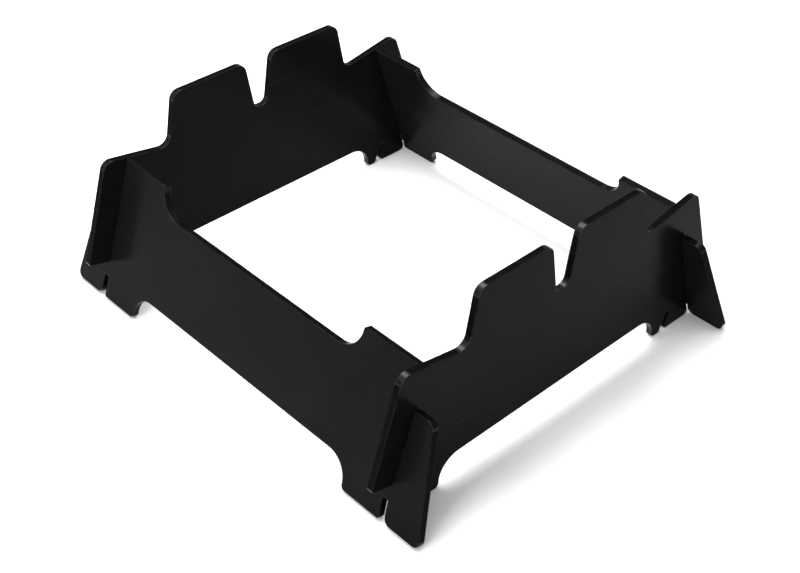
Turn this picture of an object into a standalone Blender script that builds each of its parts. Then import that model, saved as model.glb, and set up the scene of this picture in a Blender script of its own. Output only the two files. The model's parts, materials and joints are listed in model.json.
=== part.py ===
"""Slot-together stand: two upright notched plates joined by two leaning cross plates.

Axes: X runs along the cross plates, Y along the notched plates, Z is up and the
feet stand on z = 0.  All lengths below are in millimetres and are scaled to metres
when the meshes are made.
"""
import bpy
import bmesh
import math
import numpy as np
from mathutils import Matrix

MM = 0.001

# sheet and joint
SHEET = 3.0             # thickness of all four plates
SLOT_GAP = 0.30         # clearance on each side of a plate inside a slot
LEAN = math.radians(17.5)   # how far the cross plates lean, feet outward
HALF_LAP = 32.2         # height along the cross plate where the two slots meet
LAP_GAP = 0.15          # clearance above and below the meeting height

# placing
NOTCHED_X = 87.0        # notched plates stand at x = +/- this
CROSS_Y = 87.0          # foot centre line of the cross plates, y = +/- this
CROSS_FOOT_Z = 0.5 * SHEET * math.sin(LEAN)   # the lower foot edge touches the floor

# notched plate, (y, z) for the half with y > 0
TOOTH_TOP_Z = 81.8
TOOTH_INNER_Y = 7.2
TOOTH_OUTER_Y = 43.7
NOTCH_HALF = 3.25
NOTCH_Z = 58.6
SADDLE_Y = 48.1         # foot of the tooth, where the sloping shoulder starts
SADDLE_Z = 58.4
SHOULDER_Y = 79.0       # outer end of the shoulder
SHOULDER_Z = 63.9
TAB_Y = 93.5            # lower corner of the end tab
TAB_Z = 19.4
TAB_SLOPE = 0.27        # rise of the tab's lower edge, going outward
WIDE_FOOT_IN_Y = 69.0
RELIEF_TOP_Y = 70.4     # small slanting relief cut between the two feet
RELIEF_TOP_Z = 8.6
RELIEF_TOP_WIDTH = 2.0
NARROW_FOOT_OUT_Y = 65.6
NARROW_FOOT_IN_Y = 61.0
ARCH_Z = 11.75          # lower edge of the beam
ARCH_Y = 60.8

# cross plate, (x, s) for the half with x > 0; s is measured up the leaning plate
BEAM_TOP_S = 52.4
BEAM_LOW_S = 11.9
HORN_IN_X = 58.5        # inner side of the raised end
HORN_TOP_S = 64.0
PRONG_TOP_S = 47.7
PRONG_X = 98.3
TIP_X = 106.3
FOOT_IN_X = 65.6
CUT_IN_TOP_X = 85.4     # small relief cut under the slot
CUT_IN_LOW_X = 86.0
CUT_OUT_TOP_X = 87.8
CUT_OUT_LOW_X = 88.6
CUT_TOP_S = 9.6

# corner radii
R_TOOTH_IN = 4.6
R_TOOTH_OUT = 4.4
R_NOTCH = 3.1
R_SADDLE = 4.7
R_SHOULDER = 4.4
R_TAB = 1.0
R_SLOT_MOUTH = 0.8
R_WIDE_FOOT = 2.5
R_FOOT = 1.2
R_NARROW_FOOT = 1.8
R_ARCH = 9.8
R_HORN_SIDE = 10.6
R_HORN = 0.9
R_PRONG = 3.3
R_TIP = 2.8
R_CROSS_FOOT = 2.0
R_CUT_MOUTH = 3.0
R_CROSS_ARCH = 9.8
ARC_STEP = math.radians(7.5)

BLACK = (0.022, 0.023, 0.026, 1.0)
DARK = (0.028, 0.028, 0.029, 1.0)


def clear_scene():
    for ob in list(bpy.data.objects):
        bpy.data.objects.remove(ob, do_unlink=True)


def make_material(name, colour):
    mat = bpy.data.materials.new(name)
    mat.use_nodes = True
    shader = mat.node_tree.nodes["Principled BSDF"]
    shader.inputs["Base Color"].default_value = colour
    shader.inputs["Roughness"].default_value = 0.42
    return mat


def corner_arc(before, corner, after, radius):
    """Points of the arc that rounds one corner, tangent to both of its sides."""
    to_before = before - corner
    to_after = after - corner
    room = 0.49 * min(np.linalg.norm(to_before), np.linalg.norm(to_after))
    to_before = to_before / np.linalg.norm(to_before)
    to_after = to_after / np.linalg.norm(to_after)
    half = 0.5 * math.acos(float(np.clip(to_before @ to_after, -1.0, 1.0)))
    setback = radius / math.tan(half)
    if setback > 2.0 * room:
        setback = 2.0 * room
        radius = setback * math.tan(half)
    middle = to_before + to_after
    middle = middle / np.linalg.norm(middle)
    centre = corner + middle * (radius / math.sin(half))
    start = corner + to_before * setback - centre
    end = corner + to_after * setback - centre
    first = math.atan2(start[1], start[0])
    sweep = math.atan2(end[1], end[0]) - first
    sweep = (sweep + math.pi) % (2.0 * math.pi) - math.pi
    steps = max(3, int(math.ceil(abs(sweep) / ARC_STEP)))
    points = []
    for k in range(steps + 1):
        angle = first + sweep * k / steps
        points.append(centre + radius * np.array([math.cos(angle), math.sin(angle)]))
    return points


def rounded_outline(corners):
    """Closed outline from (u, v, radius) corners; radius 0 keeps a corner sharp."""
    outline = []
    count = len(corners)
    for i in range(count):
        corner = np.array(corners[i][:2])
        if corners[i][2] == 0.0:
            outline.append(corner)
            continue
        before = np.array(corners[i - 1][:2])
        after = np.array(corners[(i + 1) % count][:2])
        outline.extend(corner_arc(before, corner, after, corners[i][2]))
    return outline


def both_halves(half):
    """Mirror a list of corners that runs from the top middle to the bottom middle."""
    mirrored = [(-u, v, r) for (u, v, r) in reversed(half)]
    return half + mirrored


def lean_point(s, across):
    """(y, z) of a point on the leaning centre line, moved sideways by `across`."""
    y = CROSS_Y - s * math.sin(LEAN) + across * math.cos(LEAN)
    z = CROSS_FOOT_Z + s * math.cos(LEAN) + across * math.sin(LEAN)
    return y, z


def slot_mouth_outer(across):
    """Where the outer slot wall meets the lower edge of the end tab."""
    y0, z0 = lean_point(0.0, across)
    rise = TAB_Z + TAB_SLOPE * (y0 - TAB_Y) - z0
    s = rise / (math.cos(LEAN) + TAB_SLOPE * math.sin(LEAN))
    return lean_point(s, across)


def slot_mouth_inner(across):
    """Where the inner slot wall meets the floor."""
    y0, z0 = lean_point(0.0, across)
    return lean_point(-z0 / math.cos(LEAN), across)


def notched_half():
    wall = 0.5 * SHEET + SLOT_GAP
    roof = HALF_LAP + LAP_GAP
    mouth_out = slot_mouth_outer(wall)
    mouth_in = slot_mouth_inner(-wall)
    relief = 0.5 * RELIEF_TOP_WIDTH
    return [
        (NOTCH_HALF, NOTCH_Z, R_NOTCH),
        (TOOTH_INNER_Y, TOOTH_TOP_Z, R_TOOTH_IN),
        (TOOTH_OUTER_Y, TOOTH_TOP_Z, R_TOOTH_OUT),
        (SADDLE_Y, SADDLE_Z, R_SADDLE),
        (SHOULDER_Y, SHOULDER_Z, R_SHOULDER),
        (TAB_Y, TAB_Z, R_TAB),
        (*mouth_out, R_SLOT_MOUTH),
        (*lean_point(roof, wall), 0.0),
        (*lean_point(roof, -wall), 0.0),
        (*mouth_in, R_WIDE_FOOT),
        (WIDE_FOOT_IN_Y, 0.0, R_FOOT),
        (RELIEF_TOP_Y + relief, RELIEF_TOP_Z, 0.4),
        (RELIEF_TOP_Y - relief, RELIEF_TOP_Z, 0.4),
        (NARROW_FOOT_OUT_Y, 0.0, R_NARROW_FOOT),
        (NARROW_FOOT_IN_Y, 0.0, R_NARROW_FOOT),
        (ARCH_Y, ARCH_Z, R_ARCH),
    ]


def cross_half():
    wall = 0.5 * SHEET + SLOT_GAP
    floor = HALF_LAP - LAP_GAP
    return [
        (HORN_IN_X, BEAM_TOP_S, R_HORN_SIDE),
        (HORN_IN_X, HORN_TOP_S, R_HORN),
        (NOTCHED_X - wall, HORN_TOP_S, 0.3),
        (NOTCHED_X - wall, floor, 0.0),
        (NOTCHED_X + wall, floor, 0.0),
        (NOTCHED_X + wall, PRONG_TOP_S, 0.8),
        (PRONG_X, PRONG_TOP_S, R_PRONG),
        (TIP_X, 0.0, R_TIP),
        (CUT_OUT_LOW_X, 0.0, R_CUT_MOUTH),
        (CUT_OUT_TOP_X, CUT_TOP_S, 0.6),
        (CUT_IN_TOP_X, CUT_TOP_S, 0.6),
        (CUT_IN_LOW_X, 0.0, R_FOOT),
        (FOOT_IN_X, 0.0, R_CROSS_FOOT),
        (FOOT_IN_X, BEAM_LOW_S, R_CROSS_ARCH),
    ]


def make_plate(name, corners, frame, colour):
    """One plate: the outline in the plate's own u, v plane, as thick as the sheet along n."""
    outline = rounded_outline(corners)
    bm = bmesh.new()
    half = 0.5 * SHEET
    near = []
    far = []
    for u, v in outline:
        near.append(bm.verts.new((u * MM, v * MM, -half * MM)))
        far.append(bm.verts.new((u * MM, v * MM, half * MM)))
    bm.faces.new(near)
    bm.faces.new(list(reversed(far)))
    count = len(outline)
    for i in range(count):
        j = (i + 1) % count
        side = bm.faces.new((near[i], far[i], far[j], near[j]))
        side.smooth = True
    bmesh.ops.recalc_face_normals(bm, faces=bm.faces)
    mesh = bpy.data.meshes.new(name)
    bm.to_mesh(mesh)
    bm.free()
    mesh.set_sharp_from_angle(angle=math.radians(25.0))
    mesh.materials.append(make_material(name + "_plastic", colour))
    ob = bpy.data.objects.new(name, mesh)
    ob.matrix_world = frame
    bpy.context.collection.objects.link(ob)


def upright_frame(x):
    """Plate axes (u, v, n) to world (y, z, x), standing at the given x."""
    return Matrix(((0.0, 0.0, 1.0, x * MM), (1.0, 0.0, 0.0, 0.0),
                   (0.0, 1.0, 0.0, 0.0), (0.0, 0.0, 0.0, 1.0)))


def leaning_frame(side):
    """Plate axes (u, v, n) to world for the cross plate at y = side * CROSS_Y.

    v runs up the lean, which is also the way the plate slides out of its slots, and
    n points outward.  The outline is symmetric, so u may run along either +X or -X.
    """
    sine = math.sin(LEAN)
    cosine = math.cos(LEAN)
    return Matrix(((-side, 0.0, 0.0, 0.0),
                   (0.0, -side * sine, side * cosine, side * CROSS_Y * MM),
                   (0.0, cosine, sine, CROSS_FOOT_Z * MM),
                   (0.0, 0.0, 0.0, 1.0)))


def main():
    clear_scene()
    notched = both_halves(notched_half())
    cross = both_halves(cross_half())
    make_plate("notched_plate_right", notched, upright_frame(NOTCHED_X), BLACK)
    make_plate("notched_plate_left", notched, upright_frame(-NOTCHED_X), BLACK)
    make_plate("cross_plate_front", cross, leaning_frame(-1.0), DARK)
    make_plate("cross_plate_rear", cross, leaning_frame(1.0), DARK)


main()
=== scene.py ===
"""Visual model of a slot-together stand cut from black satin sheet plastic.

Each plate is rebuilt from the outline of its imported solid, with a small rounded arris
all round. It gets one material for its two faces, one for the straight parts of its cut
edge, and one for the rounded corners of that edge.
"""

import json
import math

import bpy
import numpy as np
from mathutils import Matrix, Vector


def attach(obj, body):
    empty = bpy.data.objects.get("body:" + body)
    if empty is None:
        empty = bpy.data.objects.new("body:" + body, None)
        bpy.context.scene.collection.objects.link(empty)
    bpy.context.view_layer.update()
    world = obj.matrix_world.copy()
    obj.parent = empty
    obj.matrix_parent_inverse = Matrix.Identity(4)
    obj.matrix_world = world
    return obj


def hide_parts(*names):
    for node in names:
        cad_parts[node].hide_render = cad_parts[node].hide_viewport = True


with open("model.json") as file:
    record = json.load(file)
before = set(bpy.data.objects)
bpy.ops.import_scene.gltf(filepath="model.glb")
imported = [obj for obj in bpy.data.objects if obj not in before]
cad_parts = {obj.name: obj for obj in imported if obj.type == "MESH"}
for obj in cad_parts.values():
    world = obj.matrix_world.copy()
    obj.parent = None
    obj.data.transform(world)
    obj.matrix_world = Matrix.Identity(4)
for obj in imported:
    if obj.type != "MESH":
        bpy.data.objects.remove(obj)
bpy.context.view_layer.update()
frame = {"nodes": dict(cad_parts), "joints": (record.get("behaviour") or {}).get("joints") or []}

MM = 0.001
MICRONS_PER_METRE = 1e6     # outline points are matched to the nearest micron
ARRIS = 0.28 * MM           # radius of the rounded arris along every cut edge
ARRIS_STEPS = 3             # faces across one arris
SMOOTH_TURN = math.radians(25.0)    # smaller turns of the outline are shaded as one curve
CURVE_TURN = math.radians(3.0)      # smaller turns than this are taken as straight
CORNER_SIDE = 2.5 * MM      # longer sides are straight parts, even between two curves
FACE, STRAIGHT_EDGE, CORNER_EDGE = range(3)     # order of a plate's materials

NOTCHED = ("notched_plate_right", "notched_plate_left")
CROSS = {"cross_plate_front": "front_cross", "cross_plate_rear": "rear_cross"}
BODY_OF = {"notched_plate_right": "notched_pair", "notched_plate_left": "notched_pair", **CROSS}
SLOT_OF = {name: "notched_plate_plastic" for name in NOTCHED}
SLOT_OF.update({name: "cross_plate_plastic" for name in CROSS})


# ---------------------------------------------------------------- plate geometry

def plate_axes(name):
    """Unit vectors (u, v, n): along the plate, up the plate, and out of its face."""
    if name in NOTCHED:
        return np.array(((0.0, 1.0, 0.0), (0.0, 0.0, 1.0), (1.0, 0.0, 0.0)))
    slide = next(j for j in frame["joints"] if j["child"] == CROSS[name])
    up = -np.array(slide["axis"])
    up = up / np.linalg.norm(up)
    along = np.array((1.0, 0.0, 0.0))
    return np.array((along, up, np.cross(along, up)))


def ordered_loop(edges):
    """Vertex indices of the single closed loop made by directed edges."""
    following = dict(edges)
    start = min(following)
    loop = [start]
    while following[loop[-1]] != start:
        loop.append(following[loop[-1]])
    return loop


def solid_outline(name, axes):
    """Outline (u, v) of the plate's face, its middle offset along n and half its thickness."""
    mesh = frame["nodes"][name].data
    points = np.array([v.co[:] for v in mesh.vertices]) @ axes.T
    low = points[:, 2].min()
    high = points[:, 2].max()
    middle = 0.5 * (low + high)
    half = 0.5 * (high - low)
    index_of = {}
    flat = []
    merged = []
    for u, v, n in points:
        key = (round(u * MICRONS_PER_METRE), round(v * MICRONS_PER_METRE))
        if key not in index_of:
            index_of[key] = len(flat)
            flat.append((u, v))
        merged.append(index_of[key] if n > middle else -1)
    mesh.calc_loop_triangles()
    directed = set()
    for triangle in mesh.loop_triangles:
        corners = [merged[i] for i in triangle.vertices]
        if min(corners) < 0 or len(set(corners)) < 3:
            continue
        for k in range(3):
            directed.add((corners[k], corners[(k + 1) % 3]))
    rim = [edge for edge in directed if (edge[1], edge[0]) not in directed]
    outline = np.array([flat[i] for i in ordered_loop(rim)])
    following = np.roll(outline, -1, axis=0)
    area = np.sum(outline[:, 0] * following[:, 1] - outline[:, 1] * following[:, 0])
    if area < 0.0:
        outline = outline[::-1]
    return outline, middle, half


def side_normals(outline):
    """Normals at an outline's points and sides, and which sides lie on a rounded corner."""
    side = np.roll(outline, -1, axis=0) - outline
    length = np.linalg.norm(side, axis=1)
    along = side / length[:, None]
    outward = np.stack((along[:, 1], -along[:, 0]), axis=1)
    before = np.roll(outward, 1, axis=0)
    mean = before + outward
    mean = mean / np.linalg.norm(mean, axis=1)[:, None]
    turn = np.arccos(np.clip(np.sum(before * outward, axis=1), -1.0, 1.0))
    smooth = turn < SMOOTH_TURN
    curved = (turn > CURVE_TURN) & smooth
    leaving = np.where(smooth[:, None], mean, outward)
    arriving = np.where(smooth[:, None], mean, before)
    in_corner = curved & np.roll(curved, -1) & (length < CORNER_SIDE)
    return mean, np.sum(mean * outward, axis=1), leaving, arriving, in_corner


def rounded_plate(name):
    """Mesh of one plate in its own u, v, n axes, with every arris rounded."""
    axes = plate_axes(name)
    outline, middle, half = solid_outline(name, axes)
    mean, spread, leaving, arriving, in_corner = side_normals(outline)
    angles = [0.5 * math.pi * k / ARRIS_STEPS for k in range(ARRIS_STEPS + 1)]
    profile = [
        (ARRIS * (1.0 - math.cos(a)), half - ARRIS * (1.0 - math.sin(a)), a) for a in reversed(angles)
    ]
    profile += [(inset, -height, -a) for inset, height, a in reversed(profile)]
    count = len(outline)
    rows = []
    verts = []
    for inset, height, _ in profile:
        ring = outline - mean * (inset / spread)[:, None]
        rows.append(len(verts))
        verts.extend((u, v, height) for u, v in ring)
    faces = []
    normals = []
    kinds = []
    for row in range(len(profile) - 1):
        top = rows[row]
        low = rows[row + 1]
        for i in range(count):
            j = (i + 1) % count
            faces.append((top + i, low + i, low + j, top + j))
            quad = (
                (row, i, leaving), (row + 1, i, leaving), (row + 1, j, arriving), (row, j, arriving),
            )
            for k, point, normal_at in quad:
                tilt = profile[k][2]
                flat = normal_at[point] * math.cos(tilt)
                normals.append((flat[0], flat[1], math.sin(tilt)))
            kinds.append(CORNER_EDGE if in_corner[i] else STRAIGHT_EDGE)
    faces.append(tuple(range(rows[0], rows[0] + count)))
    normals.extend([(0.0, 0.0, 1.0)] * count)
    faces.append(tuple(reversed(range(rows[-1], rows[-1] + count))))
    normals.extend([(0.0, 0.0, -1.0)] * count)
    kinds.extend([FACE, FACE])
    mesh = bpy.data.meshes.new(name + "_sheet")
    mesh.from_pydata(verts, [], faces)
    mesh.polygons.foreach_set("material_index", kinds)
    mesh.polygons.foreach_set("use_smooth", [True] * len(faces))
    mesh.normals_split_custom_set(normals)
    # Mask peaking mid-arris. It lightens the edge colour there: partly wear, partly a painted highlight
    # along the rounded arris.
    arris_wear_and_highlight = mesh.attributes.new("arris", "FLOAT", "POINT")
    on_arris = [math.sin(2.0 * abs(tilt)) for _, _, tilt in profile for _ in range(count)]
    arris_wear_and_highlight.data.foreach_set("value", on_arris)
    mesh.validate()
    ob = bpy.data.objects.new(name + "_sheet", mesh)
    bpy.context.scene.collection.objects.link(ob)
    basis = Matrix([list(row) for row in axes.T]).to_4x4()
    basis.translation = Vector(axes[2] * middle)
    ob.matrix_world = basis
    return ob


# ---------------------------------------------------------------- materials

# Base colours, darkest and lightest. They and the shine values below are tuned to this
# scene's light and are darker than real black plastic.
NOTCHED_FACE = ((0.0038, 0.0040, 0.0043, 1.0), (0.0056, 0.0058, 0.0061, 1.0))
NOTCHED_EDGE = ((0.0020, 0.0021, 0.0023, 1.0), (0.0034, 0.0035, 0.0038, 1.0))
CROSS_FACE = ((0.0048, 0.0048, 0.0050, 1.0), (0.0067, 0.0067, 0.0069, 1.0))
CROSS_EDGE = ((0.0021, 0.0021, 0.0022, 1.0), (0.0036, 0.0036, 0.0037, 1.0))
GRAIN = (0.020, 0.020, 0.021, 1.0)
SCRATCH = (0.025, 0.025, 0.026, 1.0)
CUTTER_LINE = (0.010, 0.010, 0.011, 1.0)
# Lighter arris colour: partly patchy rubbed wear, partly a painted highlight along the rounded arris.
ARRIS_WEAR_AND_HIGHLIGHT = (0.024, 0.024, 0.025, 1.0)

# Specular levels. The corners' are raised only to imitate the photo's corner highlights.
FACE_SHINE = 0.02
EDGE_SHINE = 0.009
NOTCHED_CORNER_SHINE = 0.17
CROSS_CORNER_SHINE = 0.09


class Nodes:
    """Short calls for building a material's node tree."""

    def __init__(self, name):
        self.material = bpy.data.materials.new(name)
        self.material.use_nodes = True
        self.tree = self.material.node_tree
        self.shader = self.tree.nodes["Principled BSDF"]
        self.place = self.add("ShaderNodeTexCoord").outputs["Object"]

    def add(self, kind, **settings):
        node = self.tree.nodes.new(kind)
        for key, value in settings.items():
            setattr(node, key, value)
        return node

    def link(self, source, target):
        self.tree.links.new(source, target)

    def stretched(self, scale, rotation=(0.0, 0.0, 0.0)):
        mapping = self.add("ShaderNodeMapping")
        mapping.inputs["Scale"].default_value = scale
        mapping.inputs["Rotation"].default_value = rotation
        self.link(self.place, mapping.inputs["Vector"])
        return mapping.outputs["Vector"]

    def noise(self, scale, detail=3.0, rough=0.55, vector=None):
        node = self.add("ShaderNodeTexNoise")
        node.inputs["Scale"].default_value = scale
        node.inputs["Detail"].default_value = detail
        node.inputs["Roughness"].default_value = rough
        self.link(vector or self.place, node.inputs["Vector"])
        return node.outputs["Fac"]

    def remap(self, value, low, high, to_low, to_high):
        node = self.add("ShaderNodeMapRange", clamp=True)
        for key, number in zip(("From Min", "From Max", "To Min", "To Max"), (low, high, to_low, to_high)):
            node.inputs[key].default_value = number
        self.link(value, node.inputs["Value"])
        return node.outputs["Result"]

    def math(self, operation, first, second):
        node = self.add("ShaderNodeMath", operation=operation)
        for socket, value in zip(node.inputs, (first, second)):
            if isinstance(value, float):
                socket.default_value = value
            else:
                self.link(value, socket)
        return node.outputs["Value"]

    def mix(self, factor, first, second):
        node = self.add("ShaderNodeMix", data_type="RGBA")
        self.link(factor, node.inputs["Factor"])
        for key, value in (("A", first), ("B", second)):
            socket = next(s for s in node.inputs if s.name == key and s.type == "RGBA")
            if isinstance(value, tuple):
                socket.default_value = value
            else:
                self.link(value, socket)
        return next(s for s in node.outputs if s.type == "RGBA")

    def bump(self, height, distance, strength, normal=None):
        node = self.add("ShaderNodeBump")
        node.inputs["Strength"].default_value = strength
        node.inputs["Distance"].default_value = distance
        self.link(height, node.inputs["Height"])
        if normal is not None:
            self.link(normal, node.inputs["Normal"])
        return node.outputs["Normal"]


def scratches(nodes, angle, spacing, threshold):
    """Mask of thin, short, nearly straight marks running one way across the face."""
    vector = nodes.stretched((spacing * 0.035, spacing, 1.0), (0.0, 0.0, angle))
    lines = nodes.noise(1.0, detail=1.0, rough=0.3, vector=vector)
    return nodes.remap(lines, threshold, threshold + 0.05, 0.0, 1.0)


def face_material(name, tints):
    """Satin sheet: fine grain, cloudy sheen, light handling marks and faint scratches."""
    nodes = Nodes(name)
    cloud = nodes.noise(38.0, detail=4.0)
    smudge = nodes.noise(11.0, detail=2.0)
    grain = nodes.noise(5200.0, detail=2.0, rough=0.6)
    orange_peel = nodes.noise(620.0, detail=2.0)
    marks = nodes.math("MAXIMUM", scratches(nodes, 0.5, 900.0, 0.74), scratches(nodes, -0.9, 700.0, 0.76))
    colour = nodes.mix(nodes.remap(cloud, 0.3, 0.7, 0.0, 1.0), *tints)
    colour = nodes.mix(nodes.remap(grain, 0.62, 0.8, 0.0, 0.35), colour, GRAIN)
    colour = nodes.mix(nodes.math("MULTIPLY", marks, 0.22), colour, SCRATCH)
    nodes.link(colour, nodes.shader.inputs["Base Color"])
    rough = nodes.remap(smudge, 0.3, 0.7, 0.19, 0.25)
    rough = nodes.math("ADD", rough, nodes.remap(cloud, 0.3, 0.7, -0.02, 0.02))
    rough = nodes.math("ADD", rough, nodes.math("MULTIPLY", marks, 0.05))
    nodes.link(rough, nodes.shader.inputs["Roughness"])
    normal = nodes.bump(orange_peel, 0.00004, 0.06)
    normal = nodes.bump(grain, 0.00001, 0.10, normal)
    nodes.link(normal, nodes.shader.inputs["Normal"])
    nodes.shader.inputs["Specular IOR Level"].default_value = FACE_SHINE
    return nodes.material


def edge_material(name, tints, shine):
    """Cut edge: fine cutter lines through the thickness and a lighter arris, partly patchy rubbed wear and
    partly a painted highlight.
    """
    nodes = Nodes(name)
    lines = nodes.noise(1.0, detail=2.0, vector=nodes.stretched((2600.0, 2600.0, 90.0)))
    patch = nodes.noise(160.0, detail=3.0)
    arris_patchiness = nodes.noise(420.0, detail=3.0, rough=0.65)
    arris = nodes.add("ShaderNodeAttribute", attribute_name="arris").outputs["Fac"]
    # The arris is painted lighter in patches: partly rubbed wear, partly a painted highlight.
    arris_wear_and_highlight = nodes.math("MULTIPLY", arris, nodes.remap(arris_patchiness, 0.38, 0.68, 0.15, 0.9))
    colour = nodes.mix(nodes.remap(patch, 0.3, 0.7, 0.0, 1.0), *tints)
    colour = nodes.mix(nodes.remap(lines, 0.5, 0.8, 0.0, 0.3), colour, CUTTER_LINE)
    colour = nodes.mix(arris_wear_and_highlight, colour, ARRIS_WEAR_AND_HIGHLIGHT)
    nodes.link(colour, nodes.shader.inputs["Base Color"])
    rough = nodes.remap(lines, 0.3, 0.7, 0.26, 0.34)
    rough = nodes.math("SUBTRACT", rough, nodes.math("MULTIPLY", arris_wear_and_highlight, 0.08))
    nodes.link(rough, nodes.shader.inputs["Roughness"])
    normal = nodes.bump(lines, 0.00003, 0.35)
    nodes.link(normal, nodes.shader.inputs["Normal"])
    nodes.shader.inputs["Specular IOR Level"].default_value = shine
    return nodes.material


# ---------------------------------------------------------------- the object

# Each list is in the order FACE, STRAIGHT_EDGE, CORNER_EDGE.
notched_finishes = (
    face_material("notched_face", NOTCHED_FACE),
    edge_material("notched_edge", NOTCHED_EDGE, EDGE_SHINE),
    edge_material("notched_corner", NOTCHED_EDGE, NOTCHED_CORNER_SHINE),
)
cross_finishes = (
    face_material("cross_face", CROSS_FACE),
    edge_material("cross_edge", CROSS_EDGE, EDGE_SHINE),
    edge_material("cross_corner", CROSS_EDGE, CROSS_CORNER_SHINE),
)

for plate, body in BODY_OF.items():
    piece = rounded_plate(plate)
    for finish in notched_finishes if plate in NOTCHED else cross_finishes:
        piece.data.materials.append(finish)
    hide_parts(plate)
    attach(piece, body)


# ---------------------------------------------------------------- floor, light and camera

FLOOR_REACH = 6.0           # from the middle to each side
FLOOR_DROP = 0.2 * MM       # keeps the floor clear of the plates' feet
FLOOR_WHITE = (0.93, 0.93, 0.93, 1.0)


def floor():
    mesh = bpy.data.meshes.new("floor")
    far = FLOOR_REACH
    corners = [(-far, -far, 0.0), (far, -far, 0.0), (far, far, 0.0), (-far, far, 0.0)]
    mesh.from_pydata(corners, [], [(0, 1, 2, 3)])
    ob = bpy.data.objects.new("floor", mesh)
    ob.location.z = -FLOOR_DROP
    bpy.context.scene.collection.objects.link(ob)
    material = bpy.data.materials.new("floor_white")
    material.use_nodes = True
    shader = material.node_tree.nodes["Principled BSDF"]
    shader.inputs["Base Color"].default_value = FLOOR_WHITE
    shader.inputs["Roughness"].default_value = 0.9
    shader.inputs["Specular IOR Level"].default_value = 0.1
    mesh.materials.append(material)


def softbox(name, location, target, size, power):
    """Rectangular area light, size in metres and power in watts, facing its target."""
    data = bpy.data.lights.new(name, "AREA")
    data.shape = "RECTANGLE"
    data.size = size[0]
    data.size_y = size[1]
    data.energy = power
    ob = bpy.data.objects.new(name, data)
    ob.location = location
    aim = Vector(target) - Vector(location)
    ob.rotation_euler = aim.to_track_quat("-Z", "Y").to_euler()
    bpy.context.scene.collection.objects.link(ob)


def sky(strength):
    """Even white light from all round."""
    world = bpy.data.worlds.new("studio")
    world.use_nodes = True
    back = world.node_tree.nodes["Background"]
    back.inputs["Color"].default_value = (1.0, 1.0, 1.0, 1.0)
    back.inputs["Strength"].default_value = strength
    bpy.context.scene.world = world


def camera():
    """Camera at the photo's viewing angle, from the fit of the plates' outlines."""
    data = bpy.data.cameras.new("camera")
    data.sensor_width = 36.0
    data.lens = 62.124
    data.shift_x = -0.0202
    data.shift_y = -0.0176
    data.clip_start = 0.01
    data.clip_end = 50.0
    ob = bpy.data.objects.new("camera", data)
    right = Vector((0.688751, 0.724935, 0.009590))
    up = Vector((-0.449004, 0.416133, 0.790714))
    back = Vector((0.569225, -0.548911, 0.612111))
    turn = Matrix((right, up, back)).transposed().to_4x4()
    turn.translation = Vector((0.333135, -0.309561, 0.367796))
    ob.matrix_world = turn
    bpy.context.scene.collection.objects.link(ob)
    bpy.context.scene.camera = ob


CENTRE = (0.0, 0.0, 0.0)

floor()
sky(0.15)
# The large box overhead lights the whole floor.
softbox("top", (0.0, 0.0, 1.3), CENTRE, (1.1, 1.1), 11.0)
# A smaller, lower box left of the middle adds light on the floor there.
softbox("over", (-0.12, 0.03, 0.45), (-0.12, 0.03, 0.0), (0.30, 0.30), 3.0)
# The front box faces the leaning front plate. The side boxes fill in shadows.
softbox("front", (0.120, -1.000, 0.650), CENTRE, (0.6, 0.6), 9.0)
softbox("right", (0.725, 0.264, 0.919), CENTRE, (0.8, 0.8), 1.6)
softbox("left", (-0.580, -0.620, 0.850), CENTRE, (0.8, 0.8), 3.0)
camera()
bpy.context.scene.view_settings.view_transform = "Standard"

bpy.context.view_layer.update()
